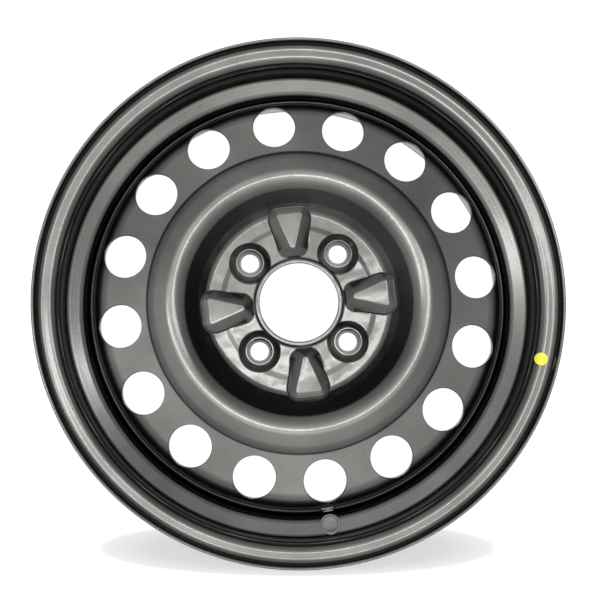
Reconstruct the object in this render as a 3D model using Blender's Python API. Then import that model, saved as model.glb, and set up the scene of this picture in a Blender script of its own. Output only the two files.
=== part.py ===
# Pressed steel road wheel, 5.5 in wide by 15 in across the bead seats, 4 bolts.
# A rolled barrel carries both tyre beads. A pressed disc is seated in its well
# and welded there. The wheel lies on its inboard flange: the axis is Z, the
# outboard side is up and the origin is on the axis at the lowest plane.
# All sizes are in metres. Radii of the barrel are on its tyre side.

import math

import bmesh
import bpy
from mathutils import Matrix, Vector

# Barrel
RIM_WIDTH = 0.1397
BEAD_SEAT_RADIUS = 0.1901
FLANGE_HEIGHT = 0.0173
FLANGE_REACH = 0.0125
FLANGE_CURL_RADIUS = 0.0090
FLANGE_ROOT_RADIUS = 0.0065
RIM_SHEET = 0.0025
SEAT_WIDTH = 0.0215
SEAT_TAPER = math.radians(5.0)
HUMP_RISE = 0.0013
HUMP_WIDTH = 0.0050
WELL_WALL_SETBACK = 0.0080
WELL_WALL_LEAN = math.radians(15.0)
WELL_WALL_BEND = 0.0060
WELL_DEPTH = 0.0201
WELL_FLOOR_WIDTH = 0.0370
LEDGE_RISE = 0.0072
LEDGE_RAMP_WIDTH = 0.0120

# Valve hole in the outboard wall of the well, with a coined land round it
VALVE_HOLE_RADIUS = 0.00575
VALVE_LAND_RADIUS = 0.00835
VALVE_LAND_RISE = 0.0003
VALVE_RISE = 0.0075
VALVE_BODY_CLEARANCE_RADIUS = 0.0115

# Disc: collar, hub plate, bowl and crest
DISC_SHEET = 0.0035
OFFSET = 0.0430
HUB_BORE_RADIUS = 0.0314
COLLAR_HEIGHT = 0.0032
COLLAR_BEND = 0.0040
PLATE_STEP_HEIGHT = 0.0008
PLATE_STEP_WIDTH = 0.0025
CONTACT_RING_WIDTH = 0.0124
BOWL_FOOT_RADIUS = 0.0739
BOWL_FOOT_BEND = 0.0080
BOWL_SLOPE = math.radians(42.0)
BOWL_WIDTH = 0.0221
CREST_BEND = 0.0140
CREST_FALL = math.radians(12.0)
CREST_WIDTH = 0.0210

# Disc: step, hand hole band and the rim seated in the well
BAND_STEP_WIDTH = 0.0025
BAND_STEP_DEPTH = 0.0021
BAND_STEP_BEND = 0.0035
BAND_FALL = math.radians(9.0)
OUTER_BEND = 0.0110
SEATING_DEPTH = 0.0280
SEATING_GAP = 0.0003

# Hand holes
HAND_HOLE_COUNT = 16
HAND_HOLE_RADIUS = 0.0169
HAND_HOLE_INSET = 0.0252
HAND_HOLE_TURN = math.radians(1.8)

# Bolt holes with coned nut seats on raised bosses
BOLT_COUNT = 4
BOLT_CIRCLE_RADIUS = 0.0500
BOLT_HOLE_RADIUS = 0.0073
NUT_SEAT_RADIUS = 0.0102
NUT_SEAT_HALF_ANGLE = math.radians(30.0)
BOSS_FOOT_RADIUS = 0.0160
BOSS_TOP_RADIUS = 0.0112
BOSS_HEIGHT = 0.0042
BOSS_RECESS_FOOT_RADIUS = 0.0140
BOSS_RECESS_TOP_RADIUS = 0.0112
BOSS_RECESS_DEPTH = 0.0020

# Embossed wedges between the bolts, as places out along the radius
WEDGE_HEIGHT = 0.0065
WEDGE_BORE_SETBACK = 0.0058
WEDGE_BOWL_REACH = 0.0023
WEDGE_FOOT_INNER_HALF_WIDTH = 0.0098
WEDGE_FOOT_OUTER_HALF_WIDTH = 0.0188
WEDGE_FOOT_INNER_BEND = 0.0080
WEDGE_FOOT_OUTER_BEND = 0.0050
WEDGE_NOSE_SETBACK = 0.0056
WEDGE_END_SETBACK = 0.0050
WEDGE_TOP_INNER_HALF_WIDTH = 0.0026
WEDGE_TOP_OUTER_HALF_WIDTH = 0.0118
WEDGE_TOP_BEND = 0.0016
WEDGE_EDGE_BEVEL = 0.0010
WEDGE_DROP = 0.0044

# Fillet welds under the disc's lower edge
WELD_COUNT = 8
WELD_STEPS = 3
WELD_LEG = 0.0042
WELD_CROWN = 0.0008
WELD_GAP = 0.0003

# Paint dot on the outboard flange
DOT_RADIUS = 0.0050
DOT_RISE = 0.0043
DOT_ANGLE = math.radians(-20.1)
DOT_GAP = 0.0003
DOT_THICKNESS = 0.0004

# Facets
TURN_STEPS = 48
BEND_STEP = math.radians(30.0)
BROAD_BEND_STEP = math.radians(18.0)
BROAD_BEND = 0.0080
HOLE_STEPS = 20
BOLT_STEPS = 16
WEDGE_BEND_FACETS = 3
SHARP_ANGLE = math.radians(40.0)
CUT_MARGIN = 0.0100

# Places on the barrel that follow from the sizes above
FULL_TURN = 2.0 * math.pi
OVERALL_WIDTH = RIM_WIDTH + 2.0 * FLANGE_REACH
OUTBOARD_FLANGE = OVERALL_WIDTH - FLANGE_REACH
INBOARD_FLANGE = FLANGE_REACH
WELL_RADIUS = BEAD_SEAT_RADIUS - WELL_DEPTH
LEDGE_RADIUS = WELL_RADIUS + LEDGE_RISE
WELL_WALL_PLACE = SEAT_WIDTH + WELL_WALL_SETBACK
WALL_TOP_LEVEL = OUTBOARD_FLANGE - WELL_WALL_PLACE
WALL_TOP_RADIUS = BEAD_SEAT_RADIUS - RIM_SHEET / 2.0 - WELL_WALL_PLACE * math.tan(SEAT_TAPER)
VALVE_CIRCLE_RADIUS = WELL_RADIUS + VALVE_RISE
VALVE_LEVEL = WALL_TOP_LEVEL - (WALL_TOP_RADIUS - VALVE_CIRCLE_RADIUS) * math.tan(WELL_WALL_LEAN)
VALVE_ANGLE = HAND_HOLE_TURN - math.pi / 2.0
DOT_CIRCLE_RADIUS = BEAD_SEAT_RADIUS + DOT_RISE

# Places on the disc that follow from the sizes above
MOUNT_PLANE = OVERALL_WIDTH / 2.0 + OFFSET
RING_LEVEL = MOUNT_PLANE + DISC_SHEET / 2.0
PLATE_TOP = MOUNT_PLANE + PLATE_STEP_HEIGHT + DISC_SHEET
PLATE_STEP_RADIUS = BOWL_FOOT_RADIUS - CONTACT_RING_WIDTH - PLATE_STEP_WIDTH
CREST_CORNER_RADIUS = BOWL_FOOT_RADIUS + BOWL_WIDTH
BAND_STEP_RADIUS = CREST_CORNER_RADIUS + CREST_WIDTH
CREST_LEVEL = RING_LEVEL + (CREST_CORNER_RADIUS - BOWL_FOOT_RADIUS) * math.tan(BOWL_SLOPE)
STEP_LEVEL = CREST_LEVEL - (BAND_STEP_RADIUS - CREST_CORNER_RADIUS) * math.tan(CREST_FALL)
BAND_START_RADIUS = BAND_STEP_RADIUS + BAND_STEP_WIDTH
SEATING_RADIUS = WELL_RADIUS - RIM_SHEET - SEATING_GAP
DISC_LOWER_EDGE = RING_LEVEL - SEATING_DEPTH
HAND_HOLE_CIRCLE_RADIUS = SEATING_RADIUS - HAND_HOLE_INSET
WEDGE_FOOT_INNER = HUB_BORE_RADIUS + WEDGE_BORE_SETBACK
WEDGE_FOOT_OUTER = BOWL_FOOT_RADIUS + WEDGE_BOWL_REACH
WEDGE_TOP_INNER = WEDGE_FOOT_INNER + WEDGE_NOSE_SETBACK
WEDGE_TOP_OUTER = WEDGE_FOOT_OUTER - WEDGE_END_SETBACK


def clear_scene():
    for item in list(bpy.data.objects):
        bpy.data.objects.remove(item, do_unlink=True)


def make_material(name, colour, roughness, metallic):
    material = bpy.data.materials.new(name)
    material.use_nodes = True
    shader = material.node_tree.nodes["Principled BSDF"]
    shader.inputs["Base Color"].default_value = (*colour, 1.0)
    shader.inputs["Roughness"].default_value = roughness
    shader.inputs["Metallic"].default_value = metallic
    material.diffuse_color = (*colour, 1.0)
    return material


def arc(centre, radius, start, end, facets):
    angles = [start + (end - start) * i / facets for i in range(facets + 1)]
    return [centre + Vector((math.cos(a), math.sin(a))) * radius for a in angles]


def facets_for(turn, radius):
    step = BROAD_BEND_STEP if radius >= BROAD_BEND else BEND_STEP
    return max(1, round(abs(turn) / step))


def bend(before, corner, after, radius, facets=None):
    # The arc that replaces one corner of a path.
    if radius <= 0.0:
        return [corner]
    arriving = (corner - before).normalized()
    leaving = (after - corner).normalized()
    turn = math.atan2(arriving.cross(leaving), arriving.dot(leaving))
    side = math.copysign(1.0, turn)
    start = corner - arriving * radius * math.tan(abs(turn) / 2.0)
    inward = Vector((-arriving.y, arriving.x)) * side
    first = math.atan2(-inward.y, -inward.x)
    facets = facets or facets_for(turn, radius)
    return arc(start + inward * radius, radius, first, first + turn, facets)


def rounded_path(corners):
    # An open path through (x, y, bend radius) corners.
    flat = [Vector(corner[:2]) for corner in corners]
    path = [flat[0]]
    for i in range(1, len(flat) - 1):
        path += bend(flat[i - 1], flat[i], flat[i + 1], corners[i][2])
    return path + [flat[-1]]


def rounded_outline(corners, facets):
    # A closed outline through (x, y, bend radius) corners, each with equal facets.
    flat = [Vector(corner[:2]) for corner in corners]
    path = []
    for i, corner in enumerate(corners):
        path += bend(flat[i - 1], flat[i], flat[(i + 1) % len(flat)], corner[2], facets)
    return path


def offset_path(path, distance):
    # The path moved to its left by a distance, with mitred corners.
    moved = []
    for i, point in enumerate(path):
        before = path[max(i - 1, 0)]
        after = path[min(i + 1, len(path) - 1)]
        runs = [run.normalized() for run in (point - before, after - point) if run.length > 0.0]
        normals = [Vector((-run.y, run.x)) for run in runs]
        mitre = sum(normals, Vector((0.0, 0.0))).normalized()
        moved.append(point + mitre * distance / mitre.dot(normals[0]))
    return moved


def spin_ring(section):
    # Turns a closed (radius, height) section all the way round Z.
    body = bmesh.new()
    points = [body.verts.new((p.x, 0.0, p.y)) for p in section]
    edges = [body.edges.new((points[i - 1], points[i])) for i in range(len(points))]
    bmesh.ops.spin(body, geom=points + edges, cent=(0.0, 0.0, 0.0), axis=(0.0, 0.0, 1.0),
                   angle=FULL_TURN, steps=TURN_STEPS, use_merge=True)
    bmesh.ops.recalc_face_normals(body, faces=body.faces)
    return body


def spin_segment(section, steps):
    # Turns a closed section through a few facets and leaves both ends closed.
    body = bmesh.new()
    points = [body.verts.new((p.x, 0.0, p.y)) for p in section]
    first = body.faces.new(points)
    bmesh.ops.spin(body, geom=[first], cent=(0.0, 0.0, 0.0), axis=(0.0, 0.0, 1.0),
                   angle=FULL_TURN * steps / TURN_STEPS, steps=steps)
    bmesh.ops.recalc_face_normals(body, faces=body.faces)
    return body


def spin_solid(profile, steps):
    # Turns an open (radius, height) profile into a solid closed by flat ends.
    body = bmesh.new()
    points = [body.verts.new((p[0], 0.0, p[1])) for p in profile]
    edges = [body.edges.new((points[i], points[i + 1])) for i in range(len(points) - 1)]
    bmesh.ops.spin(body, geom=points + edges, cent=(0.0, 0.0, 0.0), axis=(0.0, 0.0, 1.0),
                   angle=FULL_TURN, steps=steps, use_merge=True)
    bmesh.ops.holes_fill(body, edges=body.edges)
    bmesh.ops.recalc_face_normals(body, faces=body.faces)
    return body


def loft(levels):
    # Joins (closed outline, height) levels with equal point counts.
    body = bmesh.new()
    rings = [[body.verts.new((p.x, p.y, height)) for p in outline] for outline, height in levels]
    for low, high in zip(rings, rings[1:]):
        for i in range(len(low)):
            body.faces.new((low[i - 1], low[i], high[i], high[i - 1]))
    body.faces.new(rings[0])
    body.faces.new(rings[-1])
    bmesh.ops.recalc_face_normals(body, faces=body.faces)
    return body


def new_object(name, parts, material=None):
    # One object from (bmesh, matrix) pairs.
    mesh = bpy.data.meshes.new(name)
    whole = bmesh.new()
    for body, place in parts:
        piece = bpy.data.meshes.new("piece")
        body.to_mesh(piece)
        piece.transform(place)
        whole.from_mesh(piece)
        bpy.data.meshes.remove(piece)
    whole.to_mesh(mesh)
    whole.free()
    item = bpy.data.objects.new(name, mesh)
    bpy.context.collection.objects.link(item)
    if material:
        mesh.materials.append(material)
        mesh.shade_smooth()
        mesh.set_sharp_from_angle(angle=SHARP_ANGLE)
    return item


def shape_with(item, name, parts, operation):
    # Adds or cuts the parts with a Boolean on the item.
    tool = new_object(name, parts)
    tool.hide_render = True
    tool.display_type = "WIRE"
    step = item.modifiers.new(name, "BOOLEAN")
    step.object = tool
    step.operation = operation
    step.solver = "EXACT"


def turned(angle):
    return Matrix.Rotation(angle, 4, "Z")


def bead_corners():
    # Middle line of the flange root and bead seat as (radius, distance out
    # from the flange, bend), from below the curl to the hump.
    half = RIM_SHEET / 2.0
    seat = BEAD_SEAT_RADIUS - half
    fall = math.tan(SEAT_TAPER)
    hump_start = SEAT_WIDTH - HUMP_WIDTH
    return [
        (seat, half, FLANGE_ROOT_RADIUS + half),
        (seat - hump_start * fall, -hump_start, 0.0),
        (seat - SEAT_WIDTH * fall + HUMP_RISE, -SEAT_WIDTH, 0.0),
    ]


def curl_line(offset):
    # The flange's curl from the lip to its inner side, offset to the tyre side.
    radius = FLANGE_CURL_RADIUS - RIM_SHEET / 2.0 + offset
    centre = Vector((BEAD_SEAT_RADIUS + FLANGE_HEIGHT - FLANGE_CURL_RADIUS, FLANGE_CURL_RADIUS))
    past_top = math.asin((FLANGE_REACH - FLANGE_CURL_RADIUS) / FLANGE_CURL_RADIUS)
    facing_seat = -math.pi / 2.0
    return arc(centre, radius, past_top, facing_seat, facets_for(facing_seat - past_top, 0.0))


def barrel_line(offset):
    # A line along the whole barrel from the outboard lip to the inboard one,
    # offset from the sheet's middle to the tyre side.
    curl_end = curl_line(0.0)[-1]
    floor = WELL_RADIUS - RIM_SHEET / 2.0
    floor_start = WALL_TOP_LEVEL - (WALL_TOP_RADIUS - floor) * math.tan(WELL_WALL_LEAN)
    floor_end = floor_start - WELL_FLOOR_WIDTH
    corners = [(curl_end.x, OUTBOARD_FLANGE + curl_end.y, 0.0)]
    corners += [(r, OUTBOARD_FLANGE + out, turn) for r, out, turn in bead_corners()]
    corners += [
        (WALL_TOP_RADIUS, WALL_TOP_LEVEL, WELL_WALL_BEND),
        (floor, floor_start, WELL_WALL_BEND),
        (floor, floor_end, 0.0),
        (LEDGE_RADIUS - RIM_SHEET / 2.0, floor_end - LEDGE_RAMP_WIDTH, 0.0),
    ]
    corners += [(r, INBOARD_FLANGE - out, turn) for r, out, turn in reversed(bead_corners())]
    corners += [(curl_end.x, INBOARD_FLANGE - curl_end.y, 0.0)]
    curl = curl_line(offset)[:-1]
    first = [Vector((p.x, OUTBOARD_FLANGE + p.y)) for p in curl]
    last = [Vector((p.x, INBOARD_FLANGE - p.y)) for p in reversed(curl)]
    return first + offset_path(rounded_path(corners), offset) + last


def valve_place():
    # A frame on the well wall's middle line, its Z out of the outboard face.
    place = Matrix.Translation((VALVE_CIRCLE_RADIUS, 0.0, VALVE_LEVEL))
    return turned(VALVE_ANGLE) @ place @ Matrix.Rotation(-WELL_WALL_LEAN, 4, "Y")


def cylinder(radius, low, high, steps=HOLE_STEPS):
    return spin_solid([(radius, low), (radius, high)], steps)


def build_barrel(material):
    half = RIM_SHEET / 2.0
    section = barrel_line(half) + barrel_line(-half)[::-1]
    barrel = new_object("rim_barrel", [(spin_ring(section), Matrix())], material)
    place = valve_place()
    face = half + VALVE_LAND_RISE
    shape_with(barrel, "valve_land", [(cylinder(VALVE_LAND_RADIUS, -face, face), place)], "UNION")
    spot = cylinder(VALVE_LAND_RADIUS, face, face + CUT_MARGIN)
    shape_with(barrel, "valve_spot_face", [(spot, place)], "DIFFERENCE")
    hole = cylinder(VALVE_HOLE_RADIUS, -CUT_MARGIN, CUT_MARGIN)
    shape_with(barrel, "valve_hole", [(hole, place)], "DIFFERENCE")
    return barrel


def band_level(radius):
    # Height of the hand hole band's middle line.
    fall = (radius - BAND_START_RADIUS) * math.tan(BAND_FALL)
    return STEP_LEVEL - BAND_STEP_DEPTH - fall


def disc_middle():
    # Middle line of the disc from the collar's top to its lower edge.
    half = DISC_SHEET / 2.0
    collar = HUB_BORE_RADIUS + half
    plate = RING_LEVEL + PLATE_STEP_HEIGHT
    rim = SEATING_RADIUS - half
    return rounded_path([
        (collar, PLATE_TOP + COLLAR_HEIGHT, 0.0),
        (collar, plate, COLLAR_BEND),
        (PLATE_STEP_RADIUS, plate, 0.0),
        (PLATE_STEP_RADIUS + PLATE_STEP_WIDTH, RING_LEVEL, 0.0),
        (BOWL_FOOT_RADIUS, RING_LEVEL, BOWL_FOOT_BEND),
        (CREST_CORNER_RADIUS, CREST_LEVEL, CREST_BEND),
        (BAND_STEP_RADIUS, STEP_LEVEL, BAND_STEP_BEND),
        (BAND_START_RADIUS, band_level(BAND_START_RADIUS), BAND_STEP_BEND),
        (rim, band_level(rim), OUTER_BEND),
        (rim, DISC_LOWER_EDGE, 0.0),
    ])


def wedge_outline(inner, outer, inner_half, outer_half, inner_bend, outer_bend):
    return rounded_outline([
        (outer, outer_half, outer_bend),
        (inner, inner_half, inner_bend),
        (inner, -inner_half, inner_bend),
        (outer, -outer_half, outer_bend),
    ], WEDGE_BEND_FACETS)


def wedge_body(bevelled):
    foot = wedge_outline(WEDGE_FOOT_INNER, WEDGE_FOOT_OUTER, WEDGE_FOOT_INNER_HALF_WIDTH,
                         WEDGE_FOOT_OUTER_HALF_WIDTH, WEDGE_FOOT_INNER_BEND, WEDGE_FOOT_OUTER_BEND)
    top = wedge_outline(WEDGE_TOP_INNER, WEDGE_TOP_OUTER, WEDGE_TOP_INNER_HALF_WIDTH,
                        WEDGE_TOP_OUTER_HALF_WIDTH, WEDGE_TOP_BEND, WEDGE_TOP_BEND)
    root = RING_LEVEL + PLATE_STEP_HEIGHT / 2.0
    body = loft([(foot, root), (foot, PLATE_TOP), (top, PLATE_TOP + WEDGE_HEIGHT)])
    if bevelled:
        ridge = [edge for edge in body.edges
                 if all(vert.co.z > PLATE_TOP + WEDGE_HEIGHT / 2.0 for vert in edge.verts)]
        bmesh.ops.bevel(body, geom=ridge, offset=WEDGE_EDGE_BEVEL, affect="EDGES", segments=1,
                        profile=0.5, material=-1)
    return body


def boss_body():
    return spin_solid([(BOSS_FOOT_RADIUS, RING_LEVEL), (BOSS_FOOT_RADIUS, PLATE_TOP),
                       (BOSS_TOP_RADIUS, PLATE_TOP + BOSS_HEIGHT)], BOLT_STEPS)


def boss_recess():
    return spin_solid([(BOSS_RECESS_FOOT_RADIUS, MOUNT_PLANE - CUT_MARGIN),
                       (BOSS_RECESS_FOOT_RADIUS, MOUNT_PLANE + PLATE_STEP_HEIGHT),
                       (BOSS_RECESS_TOP_RADIUS,
                        MOUNT_PLANE + PLATE_STEP_HEIGHT + BOSS_RECESS_DEPTH)], BOLT_STEPS)


def bolt_hole():
    boss_top = PLATE_TOP + BOSS_HEIGHT
    seat_depth = (NUT_SEAT_RADIUS - BOLT_HOLE_RADIUS) / math.tan(NUT_SEAT_HALF_ANGLE)
    mouth = NUT_SEAT_RADIUS + CUT_MARGIN * math.tan(NUT_SEAT_HALF_ANGLE)
    return spin_solid([(BOLT_HOLE_RADIUS, MOUNT_PLANE - CUT_MARGIN),
                       (BOLT_HOLE_RADIUS, boss_top - seat_depth),
                       (mouth, boss_top + CUT_MARGIN)], BOLT_STEPS)


def hand_hole_places():
    # Frames on the band's middle line, each square to the band.
    level = band_level(HAND_HOLE_CIRCLE_RADIUS)
    middle = Matrix.Translation((HAND_HOLE_CIRCLE_RADIUS, 0.0, level))
    place = middle @ Matrix.Rotation(BAND_FALL, 4, "Y")
    return [turned(HAND_HOLE_TURN + FULL_TURN * i / HAND_HOLE_COUNT) @ place
            for i in range(HAND_HOLE_COUNT)]


def build_disc(material):
    half = DISC_SHEET / 2.0
    section = offset_path(disc_middle(), half) + offset_path(disc_middle(), -half)[::-1]
    disc = new_object("wheel_disc", [(spin_ring(section), Matrix())], material)
    quarter = FULL_TURN / BOLT_COUNT
    wedges = [turned(quarter * i) for i in range(BOLT_COUNT)]
    on_circle = Matrix.Translation((BOLT_CIRCLE_RADIUS, 0.0, 0.0))
    bolts = [turned(quarter * (i + 0.5)) @ on_circle for i in range(BOLT_COUNT)]
    raised, recessed, boss = wedge_body(True), wedge_body(False), boss_body()
    drop = Matrix.Translation((0.0, 0.0, -WEDGE_DROP))
    shape_with(disc, "embossing", [(raised, place) for place in wedges]
               + [(boss, place) for place in bolts], "UNION")
    recess = boss_recess()
    shape_with(disc, "embossing_back", [(recessed, place @ drop) for place in wedges]
               + [(recess, place) for place in bolts], "DIFFERENCE")
    hole = bolt_hole()
    shape_with(disc, "bolt_holes", [(hole, place) for place in bolts], "DIFFERENCE")
    hand = cylinder(HAND_HOLE_RADIUS, -CUT_MARGIN, CUT_MARGIN)
    shape_with(disc, "hand_holes", [(hand, place) for place in hand_hole_places()], "DIFFERENCE")
    clearance = cylinder(VALVE_BODY_CLEARANCE_RADIUS, VALVE_LEVEL, OVERALL_WIDTH)
    beside = turned(VALVE_ANGLE) @ Matrix.Translation((VALVE_CIRCLE_RADIUS, 0.0, 0.0))
    shape_with(disc, "valve_clearance", [(clearance, beside)], "DIFFERENCE")
    return disc


def build_welds(material):
    # Short crowned beads in the corner between the disc's lower edge and the well.
    corner = Vector((SEATING_RADIUS, DISC_LOWER_EDGE - WELD_GAP))
    on_disc = corner - Vector((DISC_SHEET, 0.0))
    on_well = corner - Vector((0.0, WELD_LEG))
    outward = Vector((-WELD_LEG, -DISC_SHEET)).normalized()
    crown = (on_disc + on_well) / 2.0 + outward * WELD_CROWN
    bead = spin_segment([corner, on_disc, crown, on_well], WELD_STEPS)
    for i in range(WELD_COUNT):
        start = FULL_TURN / TURN_STEPS * round(TURN_STEPS * i / WELD_COUNT)
        new_object(f"disc_weld_{i + 1}", [(bead, turned(start))], material)


def build_dot(material):
    # A round patch of paint that follows the flange's outboard face.
    near = -(RIM_SHEET / 2.0 + DOT_GAP)
    count = sum(p.y > OUTBOARD_FLANGE - SEAT_WIDTH / 2.0 for p in barrel_line(0.0))
    section = barrel_line(near)[:count] + barrel_line(near - DOT_THICKNESS)[count - 1::-1]
    dot = new_object("paint_dot", [(spin_ring(section), Matrix())], material)
    place = turned(DOT_ANGLE) @ Matrix.Translation((DOT_CIRCLE_RADIUS, 0.0, OUTBOARD_FLANGE))
    stamp = cylinder(DOT_RADIUS, -SEAT_WIDTH, SEAT_WIDTH)
    shape_with(dot, "dot_outline", [(stamp, place)], "INTERSECT")
    return dot


def main():
    clear_scene()
    coated = make_material("black coated steel", (0.045, 0.046, 0.048), 0.38, 0.85)
    weld = make_material("coated weld", (0.05, 0.05, 0.052), 0.55, 0.8)
    yellow = make_material("yellow paint", (0.93, 0.87, 0.08), 0.5, 0.0)
    build_barrel(coated)
    build_disc(coated)
    build_welds(weld)
    build_dot(yellow)


main()
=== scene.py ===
from math import asin, cos, pi, radians, sin, tan

import bmesh
import bpy
from mathutils import Matrix, Vector
from mathutils.bvhtree import BVHTree


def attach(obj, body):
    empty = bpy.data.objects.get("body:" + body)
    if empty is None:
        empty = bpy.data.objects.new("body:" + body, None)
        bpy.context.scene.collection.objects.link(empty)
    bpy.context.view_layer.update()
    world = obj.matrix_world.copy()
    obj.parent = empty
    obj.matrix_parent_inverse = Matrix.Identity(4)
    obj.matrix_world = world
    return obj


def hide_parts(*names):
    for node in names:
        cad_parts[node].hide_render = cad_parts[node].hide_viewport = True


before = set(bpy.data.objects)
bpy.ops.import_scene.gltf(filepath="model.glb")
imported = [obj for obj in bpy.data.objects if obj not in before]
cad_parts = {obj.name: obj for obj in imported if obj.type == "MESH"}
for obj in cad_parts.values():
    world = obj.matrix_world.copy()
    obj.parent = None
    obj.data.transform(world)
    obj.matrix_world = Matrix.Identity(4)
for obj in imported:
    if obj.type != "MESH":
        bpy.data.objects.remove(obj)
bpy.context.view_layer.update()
scene = bpy.context.scene
print("frame loaded:", len(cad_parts), "nodes")

fullTurn = 2 * pi
turnSteps = 240  # facets round the wheel
cutDepth = 0.012  # how far a cutter reaches past the sheet
mouthSteps = [(0, -1), (0.35, -0.35), (1.8, 0.8)]  # a hole's edge, out and up in shares of its rounding
hairGap = 0.00004  # a foot's lift off the surface that it lies on


def turned(angle):
    return Matrix.Rotation(angle, 4, "Z")


def startChain(corners):
    # a chain of edges in the XZ plane through (radius, height, bend, facets) corners, each bend rounded
    bm = bmesh.new()
    verts = [bm.verts.new((corner[0], 0, corner[1])) for corner in corners]
    for first, second in zip(verts, verts[1:]):
        bm.edges.new((first, second))
    for vert, corner in zip(verts, corners):
        if len(corner) > 2 and corner[2] > 0:
            roundCorner(bm, vert, *corner[2:])
    return bm


def roundCorner(bm, vert, radius, facets):
    before, after = [edge.other_vert(vert).co - vert.co for edge in vert.link_edges]
    width = radius / tan(before.angle(after) / 2)
    bmesh.ops.bevel(bm, geom=[vert], offset=width, offset_type="OFFSET", affect="VERTICES", segments=facets,
                    profile=0.5, material=-1)


def spinRound(bm, steps=turnSteps):
    bmesh.ops.spin(bm, geom=bm.verts[:] + bm.edges[:], cent=(0, 0, 0), axis=(0, 0, 1), angle=fullTurn,
                   steps=steps, use_merge=True)
    bmesh.ops.remove_doubles(bm, verts=bm.verts[:], dist=1e-6)
    bmesh.ops.recalc_face_normals(bm, faces=bm.faces[:])
    return bm


def spinClosed(corners, steps):
    # a turned solid, whose corners start and end on the axis
    bm = spinRound(startChain(corners), steps)
    bmesh.ops.holes_fill(bm, edges=[edge for edge in bm.edges if edge.is_boundary])
    bmesh.ops.recalc_face_normals(bm, faces=bm.faces[:])
    return bm


def roundedMouth(radius, level, rounding):
    # the corners of a hole's edge, from its wall out past the face at this level
    return [(radius + rounding * out, level + rounding * up) for out, up in mouthSteps]


def makeObject(name, bm, material=None):
    mesh = bpy.data.meshes.new(name)
    bm.to_mesh(mesh)
    bm.free()
    made = bpy.data.objects.new(name, mesh)
    scene.collection.objects.link(made)
    if material:
        mesh.materials.append(material)
    return made


def joinAt(parts):
    # one bmesh out of (bmesh, matrix) pairs
    whole = bmesh.new()
    for part, place in parts:
        piece = bpy.data.meshes.new("piece")
        part.to_mesh(piece)
        piece.transform(place)
        whole.from_mesh(piece)
        bpy.data.meshes.remove(piece)
    return whole


def booleanWith(made, parts, operation):
    tool = makeObject("tool", joinAt(parts))
    step = made.modifiers.new("shape", "BOOLEAN")
    step.object, step.operation, step.solver = tool, operation, "MANIFOLD"
    bakeModifiers(made)
    bpy.data.objects.remove(tool)


def bakeModifiers(made):
    bpy.context.view_layer.update()
    shaped = made.evaluated_get(bpy.context.evaluated_depsgraph_get())
    mesh = bpy.data.meshes.new_from_object(shaped)
    made.modifiers.clear()
    old, made.data = made.data, mesh
    bpy.data.meshes.remove(old)
    mesh.name = made.name


def thicken(bm, thickness):
    # both faces of a sheet whose middle is this mesh
    bmesh.ops.recalc_face_normals(bm, faces=bm.faces[:])
    for vert in bm.verts:
        vert.co += vert.normal * thickness / 2 * vert.calc_shell_factor()
    bmesh.ops.solidify(bm, geom=bm.faces[:], thickness=thickness)
    bmesh.ops.recalc_face_normals(bm, faces=bm.faces[:])


def roundEdges(bm, width):
    # the cut edges of a sheet, which are its only square folds
    square = [edge for edge in bm.edges if edge.calc_face_angle(0) > radians(55)]
    bmesh.ops.bevel(bm, geom=square, offset=width, affect="EDGES", segments=3, profile=0.5, material=-1)


def smoothFaces(made, sharperThan):
    made.data.shade_smooth()
    made.data.set_sharp_from_angle(angle=sharperThan)
    return made


def finishSheet(made):
    # merge the slivers that cutting left, then shade the bends as smooth
    bm = bmesh.new()
    bm.from_mesh(made.data)
    bmesh.ops.remove_doubles(bm, verts=bm.verts[:], dist=2e-6)
    bmesh.ops.dissolve_degenerate(bm, edges=bm.edges[:], dist=2e-6)
    bm.to_mesh(made.data)
    bm.free()
    return smoothFaces(made, sharperThan=radians(33))


def surfaceTree(made):
    bm = bmesh.new()
    bm.from_mesh(made.data)
    tree = BVHTree.FromBMesh(bm)
    bm.free()
    return tree


def surfaceAt(tree, place, x, y, fromAbove=True):
    # the height of the surface in a local frame, looking along the frame's own Z
    side = 1 if fromAbove else -1
    start = place @ Vector((x, y, side * cutDepth))
    hit = tree.ray_cast(start, place.to_3x3() @ Vector((0, 0, -side)))[0]
    return (place.inverted() @ hit).z if hit else 0


# The rolled barrel, as lines through the middle of its sheet
barrel = {
    "rimWidth": 0.1397, "seatRadius": 0.1901, "seatWidth": 0.0215, "seatTaper": radians(5),
    "flangeHeight": 0.017258, "flangeReach": 0.0125, "rootRadius": 0.0065,
    "curlRadius": 0.009, "curlSteps": 18, "lipRound": 0.0008, "lipTurn": radians(2),
    "sheet": 0.0025, "humpRise": 0.0013, "humpWidth": 0.005, "humpBend": 0.004,
    "wallPlace": 0.0295, "wallLean": radians(15), "wallTopBend": 0.0045, "wallFloorBend": 0.0095,
    "wellRadius": 0.17, "floorWidth": 0.037, "ledgeRadius": 0.1772, "rampWidth": 0.012, "rampBend": 0.008,
}
barrel["width"] = barrel["rimWidth"] + 2 * barrel["flangeReach"]
barrel["outerFlange"] = barrel["width"] - barrel["flangeReach"]

# The hole for the tyre valve, with the land pressed flat round it
valve = {"radius": 0.00575, "edgeRound": 0.0004, "landRadius": 0.00835, "landRise": 0.0003,
         "circle": 0.1775, "angle": radians(-88.2), "steps": 64}


def beadCorners():
    # the flange root, seat and hump as (radius, distance outboard of the flange, bend, facets)
    half = barrel["sheet"] / 2
    seat, fall = barrel["seatRadius"] - half, tan(barrel["seatTaper"])
    humpStart = barrel["seatWidth"] - barrel["humpWidth"]
    return [
        (seat, half, barrel["rootRadius"] + half, 14),
        (seat - humpStart * fall, -humpStart, barrel["humpBend"], 4),
        (seat - barrel["seatWidth"] * fall + barrel["humpRise"], -barrel["seatWidth"], barrel["humpBend"], 5),
    ]


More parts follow.
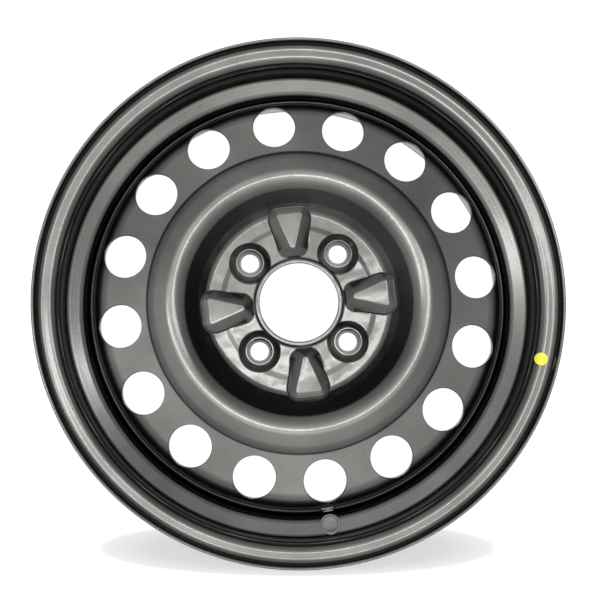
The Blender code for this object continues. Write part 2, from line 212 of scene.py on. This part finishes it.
def wallTop():
    return (barrel["seatRadius"] - barrel["sheet"] / 2 - barrel["wallPlace"] * tan(barrel["seatTaper"]),
            barrel["outerFlange"] - barrel["wallPlace"])


def curlEnd(bm, vert, flange, outward):
    # the flange's curl, swept from the radial wall by turning one vertex round the curl's centre
    centre = Vector((vert.co.x, 0, flange + outward * barrel["curlRadius"]))
    sweep = pi / 2 + asin(barrel["flangeReach"] / barrel["curlRadius"] - 1) + barrel["lipTurn"]
    bmesh.ops.spin(bm, geom=[vert], cent=centre, axis=(0, -outward, 0), angle=sweep,
                   steps=barrel["curlSteps"])


def barrelSheet():
    half = barrel["sheet"] / 2
    wallRadius, wallLevel = wallTop()
    floor = barrel["wellRadius"] - half
    floorStart = wallLevel - (wallRadius - floor) * tan(barrel["wallLean"])
    floorEnd = floorStart - barrel["floorWidth"]
    curlStart = barrel["seatRadius"] + barrel["flangeHeight"] - barrel["curlRadius"]
    outer, inner = barrel["outerFlange"], barrel["flangeReach"]
    corners = [(curlStart, outer + half)]
    corners += [(radius, outer + out, *bend) for radius, out, *bend in beadCorners()]
    corners += [
        (wallRadius, wallLevel, barrel["wallTopBend"], 9),
        (floor, floorStart, barrel["wallFloorBend"], 14),
        (floor, floorEnd, barrel["rampBend"], 6),
        (barrel["ledgeRadius"] - half, floorEnd - barrel["rampWidth"], barrel["rampBend"], 6),
    ]
    corners += [(radius, inner - out, *bend) for radius, out, *bend in reversed(beadCorners())]
    corners += [(curlStart, inner - half)]
    bm = startChain(corners)
    ends = sorted((vert for vert in bm.verts if len(vert.link_edges) == 1), key=lambda vert: vert.co.z)
    curlEnd(bm, ends[1], outer, 1)
    curlEnd(bm, ends[0], inner, -1)
    spinRound(bm)
    thicken(bm, barrel["sheet"])
    roundEdges(bm, barrel["lipRound"])
    return bm


def valvePlace():
    wallRadius, wallLevel = wallTop()
    level = wallLevel - (wallRadius - valve["circle"]) * tan(barrel["wallLean"])
    place = Matrix.Translation((valve["circle"], 0, level))
    return turned(valve["angle"]) @ place @ Matrix.Rotation(-barrel["wallLean"], 4, "Y")


def buildBarrel(material):
    made = makeObject("rolledBarrel", barrelSheet(), material)
    radius, landRadius, edge = valve["radius"], valve["landRadius"], valve["edgeRound"]
    steps, face = valve["steps"], barrel["sheet"] / 2 + valve["landRise"]
    above = face + cutDepth
    land = spinClosed([(0, -face), (landRadius, -face), (landRadius, face - edge), (landRadius - edge, face),
                       (0, face)], steps)
    spot = spinClosed([(0, face), (landRadius, face), (landRadius + cutDepth, above), (0, above)], steps)
    mouth = roundedMouth(radius, face, edge)
    hole = spinClosed([(0, -cutDepth), (radius, -cutDepth), *mouth, (mouth[-1][0], above), (0, above)], steps)
    for cutter, operation in ((land, "UNION"), (spot, "DIFFERENCE"), (hole, "DIFFERENCE")):
        booleanWith(made, [(cutter, valvePlace())], operation)
    return finishSheet(made)


# The pressed disc, as one line through the middle of its sheet
disc = {
    "sheet": 0.0035, "offset": 0.043, "boreRadius": 0.0314, "collarHeight": 0.0032, "collarBend": 0.004,
    "stepRadius": 0.0585, "stepHeight": 0.0008, "stepWidth": 0.004, "stepBend": 0.006,
    "bowlFoot": 0.0739, "bowlFootBend": 0.008, "bowlSlope": radians(41),
    "crestCorner": 0.0972, "crestBend": 0.0165, "crestFall": radians(13.5),
    "bandStep": 0.1165, "bandStepWidth": 0.0035, "bandStepDepth": 0.0026, "shoulderBend": 0.0165,
    "stepFootBend": 0.0035, "bandFall": radians(9), "outerBend": 0.018,
    "seatingDepth": 0.028, "seatingGap": 0.0003, "edgeRound": 0.0007,
}
handHoles = {"count": 16, "radius": 0.0169, "edgeRound": 0.0006, "circle": 0.142, "turn": radians(1.8),
             "steps": 72}

# The nut seats, whose foot flares out in (growth, lift) steps
bolts = {
    "count": 4, "circle": 0.05, "hole": 0.0073, "seatRadius": 0.0102, "seatHalfAngle": radians(30),
    "footRadius": 0.016, "topRadius": 0.0112, "topBend": 0.0012, "height": 0.0042, "steps": 72,
    "skirt": 0.001, "flare": [(0.001, hairGap), (0.0004, 0.0003), (-0.0003, 0.0009)],
    "recessFoot": 0.014, "recessTop": 0.0112, "recessDepth": 0.002,
}

# The wedges between them, whose flanks start steeply and flatten out beyond the nose
wedges = {
    "height": 0.0058, "drop": 0.0042, "ridgeRound": 0.0006,
    "flare": [(0.0012, -0.0012), (0.0012, hairGap), (0.0006, 0.0003)],
    "shoulderInset": 0.0003, "noseLift": 0.0009, "flankLift": 0.0026, "noseEnd": 0.041, "noseFade": 0.01,
    "foot": {"inner": 0.0372, "outer": 0.0762, "innerHalf": 0.0098, "outerHalf": 0.0188,
             "innerBend": 0.008, "outerBend": 0.0085},
    "top": {"inner": 0.0438, "outer": 0.0716, "innerHalf": 0.0016, "outerHalf": 0.0108,
            "innerBend": 0.0016, "outerBend": 0.0016},
}

# The bay in the disc's outer bend that leaves the valve free
valveBay = {"radius": 0.0115, "below": 0.003, "height": 0.05, "steps": 96}

mountPlane = barrel["width"] / 2 + disc["offset"]
ringLevel = mountPlane + disc["sheet"] / 2
plateTop = mountPlane + disc["stepHeight"] + disc["sheet"]
seatingRadius = barrel["wellRadius"] - barrel["sheet"] - disc["seatingGap"]


def crestLevel():
    return ringLevel + (disc["crestCorner"] - disc["bowlFoot"]) * tan(disc["bowlSlope"])


def stepLevel():
    return crestLevel() - (disc["bandStep"] - disc["crestCorner"]) * tan(disc["crestFall"])


def bandLevel(radius):
    start = disc["bandStep"] + disc["bandStepWidth"]
    return stepLevel() - disc["bandStepDepth"] - (radius - start) * tan(disc["bandFall"])


def discSheet():
    half = disc["sheet"] / 2
    collar, plate = disc["boreRadius"] + half, ringLevel + disc["stepHeight"]
    bandStart, rim = disc["bandStep"] + disc["bandStepWidth"], seatingRadius - half
    bm = startChain([
        (collar, plateTop + disc["collarHeight"]),
        (collar, plate, disc["collarBend"], 10),
        (disc["stepRadius"], plate, disc["stepBend"], 4),
        (disc["stepRadius"] + disc["stepWidth"], ringLevel, disc["stepBend"], 4),
        (disc["bowlFoot"], ringLevel, disc["bowlFootBend"], 12),
        (disc["crestCorner"], crestLevel(), disc["crestBend"], 22),
        (disc["bandStep"], stepLevel(), disc["shoulderBend"], 10),
        (bandStart, bandLevel(bandStart), disc["stepFootBend"], 7),
        (rim, bandLevel(rim), disc["outerBend"], 24),
        (rim, ringLevel - disc["seatingDepth"]),
    ])
    spinRound(bm)
    thicken(bm, disc["sheet"])
    roundEdges(bm, disc["edgeRound"])
    return bm


def wedgeLoop(bm, size, grow, heightAt):
    # the wedge's outline at one level, a trapezium with rounded corners, grown by a margin
    inner, outer = size["inner"] - grow, size["outer"] + grow
    innerHalf, outerHalf = size["innerHalf"] + grow, size["outerHalf"] + grow
    verts = [bm.verts.new(point) for point in
             ((outer, outerHalf, 0), (inner, innerHalf, 0), (inner, -innerHalf, 0), (outer, -outerHalf, 0))]
    bends = [size["outerBend"], size["innerBend"], size["innerBend"], size["outerBend"]]
    before = set(bm.verts) - set(verts)
    for i in range(4):
        bm.edges.new((verts[i - 1], verts[i]))
    for vert, radius in zip(verts, bends):
        roundCorner(bm, vert, radius + grow, 9)
    loop = [vert for vert in bm.verts if vert not in before]
    for vert in loop:
        vert.co.z = heightAt(vert.co.x, vert.co.y)
    return sorted({edge for vert in loop for edge in vert.link_edges}, key=lambda edge: edge.index)


def bridgeLoops(bm, loops):
    for lower, upper in zip(loops, loops[1:]):
        bmesh.ops.bridge_loops(bm, edges=lower + upper)
    bmesh.ops.contextual_create(bm, geom=loops[0])
    bmesh.ops.contextual_create(bm, geom=loops[-1])
    bmesh.ops.recalc_face_normals(bm, faces=bm.faces[:])


def wedgeBody(tree):
    # the raised wedge, whose flared foot lies on the disc's own surface
    flat = Matrix.Translation((0, 0, ringLevel))
    clearOfCollar = disc["boreRadius"] + disc["sheet"] + disc["collarBend"]

    def lying(lift):
        return lambda x, y: ringLevel + lift + (surfaceAt(tree, flat, x, y) if x > clearOfCollar
                                                else plateTop - ringLevel)

    def shoulder(x, y):
        share = min(max((x - wedges["noseEnd"]) / wedges["noseFade"], 0), 1)
        return lying(wedges["noseLift"] + share * (wedges["flankLift"] - wedges["noseLift"]))(x, y)

    bm = bmesh.new()
    level = plateTop + wedges["height"]
    loops = [wedgeLoop(bm, wedges["foot"], grow, lying(lift)) for grow, lift in wedges["flare"]]
    loops.append(wedgeLoop(bm, wedges["foot"], -wedges["shoulderInset"], shoulder))
    loops.append(wedgeLoop(bm, wedges["top"], 0, lambda x, y: level))
    bridgeLoops(bm, loops)
    ridge = [edge for edge in bm.edges if all(abs(vert.co.z - level) < 1e-6 for vert in edge.verts)]
    bmesh.ops.bevel(bm, geom=ridge, offset=wedges["ridgeRound"], affect="EDGES", segments=3, profile=0.5,
                    material=-1)
    return bm


def wedgeHollow():
    # the same wedge without its flare, which is pressed up from behind
    bm = bmesh.new()
    root, level = ringLevel + disc["stepHeight"] / 2 - cutDepth, plateTop + wedges["height"]
    loops = [wedgeLoop(bm, wedges["foot"], 0, lambda x, y: root),
             wedgeLoop(bm, wedges["foot"], 0, lambda x, y: plateTop),
             wedgeLoop(bm, wedges["top"], 0, lambda x, y: level)]
    bridgeLoops(bm, loops)
    return bm


def bossBody(tree, place):
    # the raised ring round a bolt hole, whose flared foot lies on the disc's own surface
    foot, top, height, skirt = bolts["footRadius"], bolts["topRadius"], bolts["height"], bolts["skirt"]
    flare = [(foot + grow, lift) for grow, lift in bolts["flare"]]
    bm = spinClosed([(0, -skirt), (foot + skirt, -skirt), *flare, (top, height, bolts["topBend"], 5),
                     (0, height)], bolts["steps"])
    for vert in bm.verts:
        if vert.co.z < skirt and vert.co.xy.length > top:
            vert.co.z += min(surfaceAt(tree, place, vert.co.x, vert.co.y), 0)
    return bm


def bossRecess():
    # the dent behind a nut seat
    under = mountPlane + disc["stepHeight"] - plateTop
    foot, top, ceiling = bolts["recessFoot"], bolts["recessTop"], under + bolts["recessDepth"]
    return spinClosed([(0, under - cutDepth), (foot, under - cutDepth), (foot, under), (top, ceiling),
                       (0, ceiling)], bolts["steps"])


def boltHole():
    top = bolts["height"]
    depth = (bolts["seatRadius"] - bolts["hole"]) / tan(bolts["seatHalfAngle"])
    mouth = bolts["seatRadius"] + cutDepth * tan(bolts["seatHalfAngle"])
    return spinClosed([(0, -cutDepth), (bolts["hole"], -cutDepth), (bolts["hole"], top - depth),
                       (mouth, top + cutDepth), (0, top + cutDepth)], bolts["steps"])


def handHoleCutter(tree, place):
    # a straight hole whose rounded edges follow both faces of the sheet, with flat ends clear of it
    above = [(grow, 1, lift) for grow, lift in roundedMouth(0, 0, handHoles["edgeRound"])]
    above.append((above[-1][0], 1, cutDepth))
    below = [(grow, -1, lift) for grow, side, lift in reversed(above)]
    bm = bmesh.new()
    loops = []
    for grow, side, lift in below + above:
        radius = handHoles["radius"] + grow
        ring = bmesh.ops.create_circle(bm, segments=handHoles["steps"], radius=radius)["verts"]
        for vert in ring:
            onSheet = surfaceAt(tree, place, vert.co.x, vert.co.y, side > 0) if lift < cutDepth else 0
            vert.co.z = onSheet + side * lift
        loops.append(list({link for vert in ring for link in vert.link_edges}))
    bridgeLoops(bm, loops)
    return bm


def buildDisc(material):
    made = makeObject("pressedDisc", discSheet(), material)
    plain = surfaceTree(made)
    quarter = fullTurn / bolts["count"]
    onPlate = Matrix.Translation((bolts["circle"], 0, plateTop))
    onBand = Matrix.Translation((handHoles["circle"], 0, bandLevel(handHoles["circle"])))
    onBand = onBand @ Matrix.Rotation(disc["bandFall"], 4, "Y")
    wedgePlaces = [turned(quarter * i) for i in range(bolts["count"])]
    boltPlaces = [turned(quarter * (i + 0.5)) @ onPlate for i in range(bolts["count"])]
    holePlaces = [turned(handHoles["turn"] + fullTurn * i / handHoles["count"]) @ onBand
                  for i in range(handHoles["count"])]
    wedge, behind = wedgeBody(plain), Matrix.Translation((0, 0, -wedges["drop"]))
    booleanWith(made, [(wedge, place) for place in wedgePlaces], "UNION")
    booleanWith(made, [(bossBody(plain, place), place) for place in boltPlaces], "UNION")
    booleanWith(made, [(wedgeHollow(), place @ behind) for place in wedgePlaces], "DIFFERENCE")
    booleanWith(made, [(bossRecess(), place) for place in boltPlaces], "DIFFERENCE")
    booleanWith(made, [(boltHole(), place) for place in boltPlaces], "DIFFERENCE")
    booleanWith(made, [(handHoleCutter(plain, place), place) for place in holePlaces], "DIFFERENCE")
    bay = spinClosed([(0, 0), (valveBay["radius"], 0), (valveBay["radius"], valveBay["height"]),
                      (0, valveBay["height"])], valveBay["steps"])
    beside = Matrix.Translation((valve["circle"], 0, wallTop()[1] - valveBay["below"]))
    booleanWith(made, [(bay, turned(valve["angle"]) @ beside)], "DIFFERENCE")
    return finishSheet(made)


# The weld beads, each a fillet that starts at its own share of the turn
welds = {"count": 8, "arc": radians(22.5), "leg": 0.0042, "crown": 0.0008, "gap": 0.0003, "steps": 66,
         "rippleLength": 0.0021, "rippleDepth": 0.05}


def buildWelds(material):
    # rippled fillets in the corner between the disc's lower edge and the well
    corner = Vector((seatingRadius, 0, ringLevel - disc["seatingDepth"] - welds["gap"]))
    onDisc, onWell = corner - Vector((disc["sheet"], 0, 0)), corner - Vector((0, 0, welds["leg"]))
    outward = Vector((-welds["leg"], 0, -disc["sheet"])).normalized()
    crown = (onDisc + onWell) / 2 + outward * welds["crown"]
    made = []
    for i in range(welds["count"]):
        bm = bmesh.new()
        section = [bm.verts.new(point) for point in (corner, onDisc, crown, onWell)]
        face = bm.faces.new(section)
        bmesh.ops.spin(bm, geom=[face], cent=(0, 0, 0), axis=(0, 0, 1), angle=welds["arc"],
                       steps=welds["steps"])
        bmesh.ops.remove_doubles(bm, verts=bm.verts[:], dist=1e-7)
        for vert in bm.verts:
            along = vert.co.xy.angle_signed(Vector((1, 0))) * -seatingRadius
            ripple = 1 - welds["rippleDepth"] * abs(sin(pi * along / welds["rippleLength"]))
            root = Vector((vert.co.x, vert.co.y, 0)).normalized() * corner.x + Vector((0, 0, corner.z))
            vert.co = root.lerp(vert.co, ripple)
        bmesh.ops.recalc_face_normals(bm, faces=bm.faces[:])
        bmesh.ops.transform(bm, matrix=turned(fullTurn * i / welds["count"]), verts=bm.verts[:])
        bead = makeObject(f"weldBead{i + 1}", bm, material)
        made.append(smoothFaces(bead, sharperThan=radians(50)))
    return made


# The paint mark, in rings so that it follows the flange
dot = {"radius": 0.005, "circle": 0.1944, "angle": radians(-20.1), "rings": 12, "steps": 72,
       "lift": 0.0002, "thickness": 0.00015}


def buildDot(barrelTree, material):
    # a film of paint that lies on the flange
    rings = [(dot["radius"] * step / dot["rings"], 0) for step in range(dot["rings"] + 1)]
    bm = spinRound(startChain(rings), dot["steps"])
    place = turned(dot["angle"]) @ Matrix.Translation((dot["circle"], 0, barrel["outerFlange"]))
    for vert in bm.verts:
        vert.co.z = surfaceAt(barrelTree, place, vert.co.x, vert.co.y) + dot["lift"]
    bmesh.ops.transform(bm, matrix=place, verts=bm.verts[:])
    bmesh.ops.recalc_face_normals(bm, faces=bm.faces[:])
    if sum(face.normal.z for face in bm.faces) < 0:
        bmesh.ops.reverse_faces(bm, faces=bm.faces[:])
    bmesh.ops.solidify(bm, geom=bm.faces[:], thickness=-dot["thickness"])
    bmesh.ops.recalc_face_normals(bm, faces=bm.faces[:])
    return smoothFaces(makeObject("paintMark", bm, material), sharperThan=radians(40))


def addNode(tree, kind, **values):
    node = tree.nodes.new(kind)
    for name, value in values.items():
        setattr(node, name, value)
    return node


def mathNode(tree, operation, *values):
    # one sum, whose values are numbers or other nodes' outputs
    node = addNode(tree, "ShaderNodeMath", operation=operation)
    for socket, value in zip(node.inputs, values):
        if isinstance(value, (int, float)):
            socket.default_value = value
        else:
            tree.links.new(value, socket)
    return node.outputs[0]


def rangeOf(tree, source, fromLow, fromHigh, toLow, toHigh):
    node = addNode(tree, "ShaderNodeMapRange")
    for name, value in (("From Min", fromLow), ("From Max", fromHigh), ("To Min", toLow), ("To Max", toHigh)):
        node.inputs[name].default_value = value
    tree.links.new(source, node.inputs["Value"])
    return node.outputs["Result"]


def mixColours(tree, factor, first, second):
    node = addNode(tree, "ShaderNodeMix", data_type="RGBA")
    node.inputs["A"].default_value, node.inputs["B"].default_value = (*first, 1), (*second, 1)
    tree.links.new(factor, node.inputs["Factor"])
    return node.outputs["Result"]


def rampNode(tree, source, stops, tint=(1, 1, 1)):
    ramp = addNode(tree, "ShaderNodeValToRGB")
    while len(ramp.color_ramp.elements) < len(stops):
        ramp.color_ramp.elements.new(0.5)
    for element, (where, level) in zip(ramp.color_ramp.elements, stops):
        element.position, element.color = where, (*[level * share for share in tint], 1)
    tree.links.new(source, ramp.inputs["Fac"])
    return ramp.outputs["Color"]


# The dip coat: how fine its patterns are, their depths in millimetres, and where the hub plate's ripple
# ends and the barrel's lines begin
coatScales = {"Grain Scale": 1050.0, "Peel Scale": 420.0, "Ring Scale": 520.0, "Ripple Scale": 58.0,
              "Mottle Scale": 26.0}
coatLook = {
    "grainDepth": 0.02, "peelDepth": 0.02,
    "plateRipple": 0.55, "plateEdge": 0.074, "plateFade": 0.006,
    "ringDepth": 0.05, "rolledEdge": 0.168, "rolledFade": 0.003,
}
noiseSpan = (0.3, 0.7)  # where most of a noise's values lie

# Each finish's colour and gloss
steelLook = {"metallic": 1.0, "dark": (0.115, 0.116, 0.113), "light": (0.15, 0.151, 0.147),
             "roughness": (0.13, 0.18), "relief": 1.0}
weldLook = {"metallic": 0.85, "dark": (0.09, 0.09, 0.088), "light": (0.13, 0.13, 0.126),
            "roughness": (0.34, 0.39), "relief": 1.5}
yellowLook = {"dark": (0.96, 0.93, 0.05), "light": (0.99, 0.97, 0.09), "roughness": 0.45}


def coatGroup():
    # orange peel, fine grain, slow mottling, the hub plate's pressed ripple and the barrel's rolled lines
    group = bpy.data.node_groups.new("dipCoat", "ShaderNodeTree")
    sockets = group.interface
    for name, value in coatScales.items():
        sockets.new_socket(name, in_out="INPUT", socket_type="NodeSocketFloat").default_value = value
    for name in ("Height", "Grain", "Mottle"):
        sockets.new_socket(name, in_out="OUTPUT", socket_type="NodeSocketFloat")
    start, end = addNode(group, "NodeGroupInput"), addNode(group, "NodeGroupOutput")
    place = addNode(group, "ShaderNodeTexCoord")

    def noise(scale, detail):
        made = addNode(group, "ShaderNodeTexNoise")
        made.inputs["Detail"].default_value = detail
        group.links.new(place.outputs["Object"], made.inputs["Vector"])
        group.links.new(start.outputs[scale], made.inputs["Scale"])
        return made.outputs["Fac"]

    grain, peel = noise("Grain Scale", 2), noise("Peel Scale", 1)
    ripple, mottle = noise("Ripple Scale", 1), noise("Mottle Scale", 4)

    # distance from the wheel's axis, which bounds the ripple and carries the rolled lines
    flat = addNode(group, "ShaderNodeVectorMath", operation="MULTIPLY")
    flat.inputs[1].default_value = (1, 1, 0)
    length = addNode(group, "ShaderNodeVectorMath", operation="LENGTH")
    group.links.new(place.outputs["Object"], flat.inputs[0])
    group.links.new(flat.outputs[0], length.inputs[0])
    reach = length.outputs["Value"]
    plateEdge, rolledEdge = coatLook["plateEdge"], coatLook["rolledEdge"]
    plate = rangeOf(group, reach, plateEdge, plateEdge + coatLook["plateFade"], 1, 0)
    rolled = rangeOf(group, reach, rolledEdge, rolledEdge + coatLook["rolledFade"], 0, 1)
    lines = addNode(group, "ShaderNodeTexNoise", noise_dimensions="1D")
    lines.inputs["Detail"].default_value = 2
    group.links.new(reach, lines.inputs["W"])
    group.links.new(start.outputs["Ring Scale"], lines.inputs["Scale"])

    rippleDepth = mathNode(group, "MULTIPLY", plate, coatLook["plateRipple"])
    lineDepth = mathNode(group, "MULTIPLY", rolled, coatLook["ringDepth"])
    height = mathNode(group, "MULTIPLY", lines.outputs["Fac"], lineDepth)
    for pattern, depth in ((ripple, rippleDepth), (peel, coatLook["peelDepth"]),
                           (grain, coatLook["grainDepth"])):
        height = mathNode(group, "MULTIPLY_ADD", pattern, depth, height)
    for name, value in (("Height", height), ("Grain", grain), ("Mottle", mottle)):
        group.links.new(value, end.inputs[name])
    return group


def coatedSteel(name, coat, look):
    # black dip coat over steel: a dark sheen with grain in its highlights
    material = bpy.data.materials.new(name)
    material.use_nodes = True
    tree = material.node_tree
    shader = tree.nodes["Principled BSDF"]
    shader.inputs["Metallic"].default_value = look["metallic"]
    surface = addNode(tree, "ShaderNodeGroup", node_tree=coat)
    shade = rangeOf(tree, surface.outputs["Mottle"], *noiseSpan, 0, 1)
    tree.links.new(mixColours(tree, shade, look["dark"], look["light"]), shader.inputs["Base Color"])
    gloss = rangeOf(tree, surface.outputs["Grain"], *noiseSpan, *look["roughness"])
    tree.links.new(gloss, shader.inputs["Roughness"])
    relief = addNode(tree, "ShaderNodeBump")
    relief.inputs["Strength"].default_value = look["relief"]
    relief.inputs["Distance"].default_value = 0.001  # so that depths are in millimetres
    tree.links.new(surface.outputs["Height"], relief.inputs["Height"])
    tree.links.new(relief.outputs["Normal"], shader.inputs["Normal"])
    return material


def yellowPaint(coat):
    material = bpy.data.materials.new("yellowPaint")
    material.use_nodes = True
    tree = material.node_tree
    shader = tree.nodes["Principled BSDF"]
    surface = addNode(tree, "ShaderNodeGroup", node_tree=coat)
    shade = rangeOf(tree, surface.outputs["Mottle"], *noiseSpan, 0, 1)
    colour = mixColours(tree, shade, yellowLook["dark"], yellowLook["light"])
    tree.links.new(colour, shader.inputs["Base Color"])
    shader.inputs["Roughness"].default_value = yellowLook["roughness"]
    return material


# The camera stands almost over the hub, with the valve hole at the bottom of the picture
lens = {"place": Vector((-0.05612, -0.09853, 1.1485)), "target": Vector((0, 0, 0.15)), "up": radians(83.6),
        "focal": 77.0, "sensor": 36}


def buildCamera():
    camera = bpy.data.cameras.new("camera")
    camera.lens, camera.sensor_width = lens["focal"], lens["sensor"]
    made = bpy.data.objects.new("camera", camera)
    scene.collection.objects.link(made)
    back = (lens["place"] - lens["target"]).normalized()
    right = Vector((cos(lens["up"]), sin(lens["up"]), 0)).cross(back).normalized()
    turn = Matrix((right, back.cross(right), back)).transposed()
    made.matrix_world = Matrix.Translation(lens["place"]) @ turn.to_4x4()
    scene.camera = made


# The panels beside the camera
lamps = {
    "leftPanel": {"place": (-0.23, 0.06, 1.5), "target": (0, 0, 0.13), "size": (0.07, 0.62), "power": 1.0},
    "rightPanel": {"place": (0.3, 0.14, 1.5), "target": (0, 0, 0.13), "size": (0.07, 0.62), "power": 1.0},
}


def buildLamp(name, place, target, size, power):
    lamp = bpy.data.lights.new(name, "AREA")
    lamp.shape, lamp.size, lamp.size_y = "RECTANGLE", *size
    lamp.energy = power
    made = bpy.data.objects.new(name, lamp)
    scene.collection.objects.link(made)
    away = Vector(place) - Vector(target)
    made.matrix_world = Matrix.Translation(place) @ away.to_track_quat("Z", "Y").to_matrix().to_4x4()


# The sky's level by height and round the horizon, as (place, level) stops
sky = {
    "strength": 4.0, "tint": (1, 0.998, 0.975),
    "height": [(0.0, 0.002), (0.12, 0.004), (0.24, 0.01), (0.34, 0.05), (0.44, 0.15), (0.56, 0.18),
               (0.72, 0.21), (0.82, 0.27), (0.9, 0.36), (0.95, 0.5), (0.98, 0.68), (1.0, 0.74)],
    "round": [(0.0, 1.25), (0.125, 0.85), (0.25, 1.2), (0.375, 0.95), (0.5, 0.8), (0.62, 0.6),
              (0.75, 1.05), (0.88, 0.7), (1.0, 1.25)],
}


def buildWorld():
    # a tent of soft light: brightest overhead, black at the horizon and uneven all round
    world = bpy.data.worlds.new("studio")
    scene.world = world
    world.use_nodes = True
    tree = world.node_tree
    background = tree.nodes["Background"]
    place = addNode(tree, "ShaderNodeTexCoord")
    split = addNode(tree, "ShaderNodeSeparateXYZ")
    tree.links.new(place.outputs["Generated"], split.inputs["Vector"])
    angle = mathNode(tree, "ARCTAN2", split.outputs["Y"], split.outputs["X"])
    bearing = rangeOf(tree, angle, -pi, pi, 0, 1)
    both = addNode(tree, "ShaderNodeMix", data_type="RGBA", blend_type="MULTIPLY")
    both.inputs["Factor"].default_value = 1
    tree.links.new(rampNode(tree, split.outputs["Z"], sky["height"], sky["tint"]), both.inputs["A"])
    tree.links.new(rampNode(tree, bearing, sky["round"]), both.inputs["B"])
    tree.links.new(both.outputs["Result"], background.inputs["Color"])
    background.inputs["Strength"].default_value = sky["strength"]


# The floor, with a painted shadow below the wheel and painted shade under the valve hole
floorLook = {"radius": 30, "facets": 64, "matt": 0.25}
paintedShadows = [
    # painted shadow: a soft flat ellipse that darkens the floor below the wheel
    {"Location": (-0.017, -0.204, 0), "Rotation": (0, 0, radians(-6.6)), "Scale": (0.185, 0.0255, 1),
     "levels": [(0.0, 0.45), (0.7, 0.52), (0.92, 0.66), (1.0, 1.0)]},
    # painted shade: darkens the floor seen through the valve hole
    {"Location": (0.0127, -0.1866, 0), "Rotation": (0, 0, 0), "Scale": (0.03, 0.016, 1),
     "levels": [(0.0, 0.16), (0.8, 0.2), (1.0, 1.0)]},
]


def buildFloor():
    # matt, and lit white wherever seen, mirrored or looked at through something, but for painted shadows
    bm = bmesh.new()
    bmesh.ops.create_circle(bm, segments=floorLook["facets"], radius=floorLook["radius"], cap_ends=True)
    material = bpy.data.materials.new("paleFloor")
    material.use_nodes = True
    tree = material.node_tree
    tree.nodes.remove(tree.nodes["Principled BSDF"])
    matt = addNode(tree, "ShaderNodeBsdfDiffuse")
    matt.inputs["Color"].default_value = (*[floorLook["matt"]] * 3, 1)
    path = addNode(tree, "ShaderNodeLightPath")
    amount = path.outputs["Is Camera Ray"]
    for ray in ("Is Glossy Ray", "Is Transmission Ray"):
        amount = mathNode(tree, "MAXIMUM", amount, path.outputs[ray])
    place = addNode(tree, "ShaderNodeTexCoord")
    # each painted shadow dims the floor's glow by its ramp of shade levels
    for paintedShadow in paintedShadows:
        beside = addNode(tree, "ShaderNodeMapping", vector_type="TEXTURE")
        for name in ("Location", "Rotation", "Scale"):
            beside.inputs[name].default_value = paintedShadow[name]
        tree.links.new(place.outputs["Object"], beside.inputs["Vector"])
        spread = addNode(tree, "ShaderNodeVectorMath", operation="LENGTH")
        tree.links.new(beside.outputs["Vector"], spread.inputs[0])
        level = rampNode(tree, spread.outputs["Value"], paintedShadow["levels"])
        amount = mathNode(tree, "MULTIPLY", amount, level)
    glow = addNode(tree, "ShaderNodeEmission")
    tree.links.new(amount, glow.inputs["Strength"])
    total = addNode(tree, "ShaderNodeAddShader")
    tree.links.new(matt.outputs[0], total.inputs[0])
    tree.links.new(glow.outputs[0], total.inputs[1])
    tree.links.new(total.outputs[0], tree.nodes["Material Output"].inputs["Surface"])
    makeObject("floor", bm, material)


buildCamera()
buildFloor()
buildWorld()
for name, lamp in lamps.items():
    buildLamp(name, **lamp)
print("stage, camera and lamps ready")

coat = coatGroup()
steel = coatedSteel("coatedSteel", coat, steelLook)
weldMetal = coatedSteel("coatedWeld", coat, weldLook)
yellow = yellowPaint(coat)

rolledBarrel = buildBarrel(steel)
print("barrel:", len(rolledBarrel.data.polygons), "faces")
pressedDisc = buildDisc(steel)
print("disc:", len(pressedDisc.data.polygons), "faces")
beads = buildWelds(weldMetal)
paintMark = buildDot(surfaceTree(rolledBarrel), yellow)
print("welds and paint mark ready")

replaced = [(rolledBarrel, "rim_barrel", "coated_steel"), (pressedDisc, "wheel_disc", "coated_steel"),
            (paintMark, "paint_dot", "yellow_paint")]
replaced += [(bead, f"disc_weld_{i + 1}", "coated_weld") for i, bead in enumerate(beads)]
for piece, node, finish in replaced:
    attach(piece, "root")
    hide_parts(node)

scene.view_settings.view_transform = "Standard"
